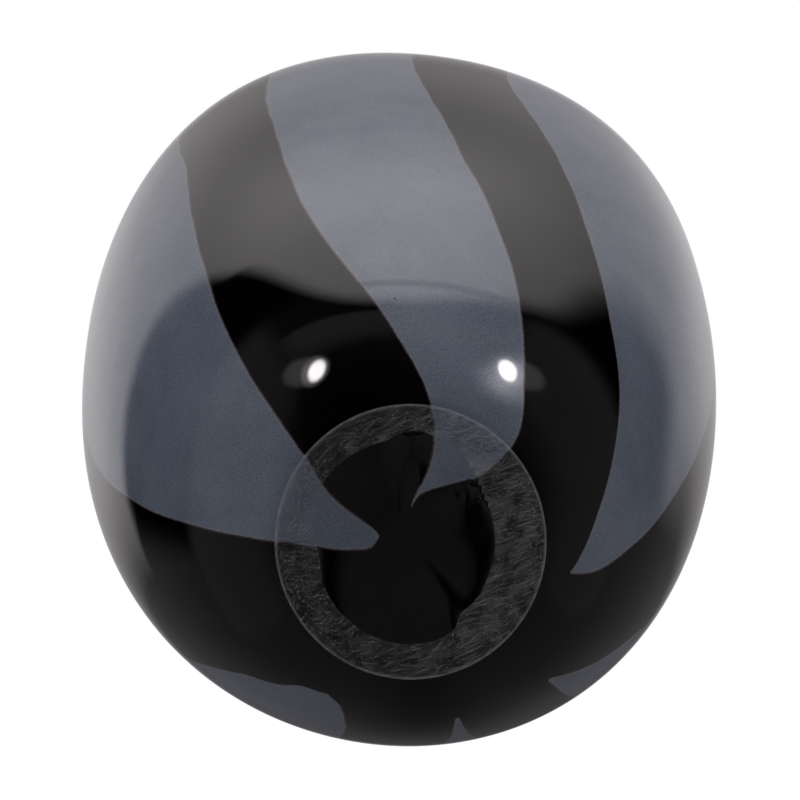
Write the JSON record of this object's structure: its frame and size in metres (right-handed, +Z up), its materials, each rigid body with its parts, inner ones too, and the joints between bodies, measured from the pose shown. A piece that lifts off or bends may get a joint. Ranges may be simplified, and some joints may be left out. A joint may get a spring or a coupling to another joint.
{
  "type": "art glass vase",
  "caption": "Hand-blown ovoid vase of cased glass, dark with tapering slate strips, on a ground foot ring, with a short neck and a rounded lip.",
  "frame": {"origin": "centre of the foot plane, where the vase stands", "axes": "+Z up the vase's axis to the mouth, -Y towards the narrow front strip, +X to the right of it"},
  "size_m": [0.2, 0.2, 0.29],
  "materials": {
    "clear_glass": "polished clear glass, ground matt on the foot ring",
    "black_glass": "opaque black glass, very dark brown where it thins",
    "slate_glass": "opaque slate blue-grey glass with a fine powdery grain",
    "smoke_glass": "polished clear glass that looks dark over the black"
  },
  "bodies": {
    "root": {"clear_casing": "clear_glass", "black_gather": "black_glass", "inner_gather": "smoke_glass", "grey_strip_wide_left": "slate_glass", "grey_strip_front": "slate_glass", "grey_strip_wide_right": "slate_glass", "grey_strip_back_right": "slate_glass", "grey_strip_slender": "slate_glass", "grey_strip_back_left": "slate_glass"}
  },
  "joints": []
}
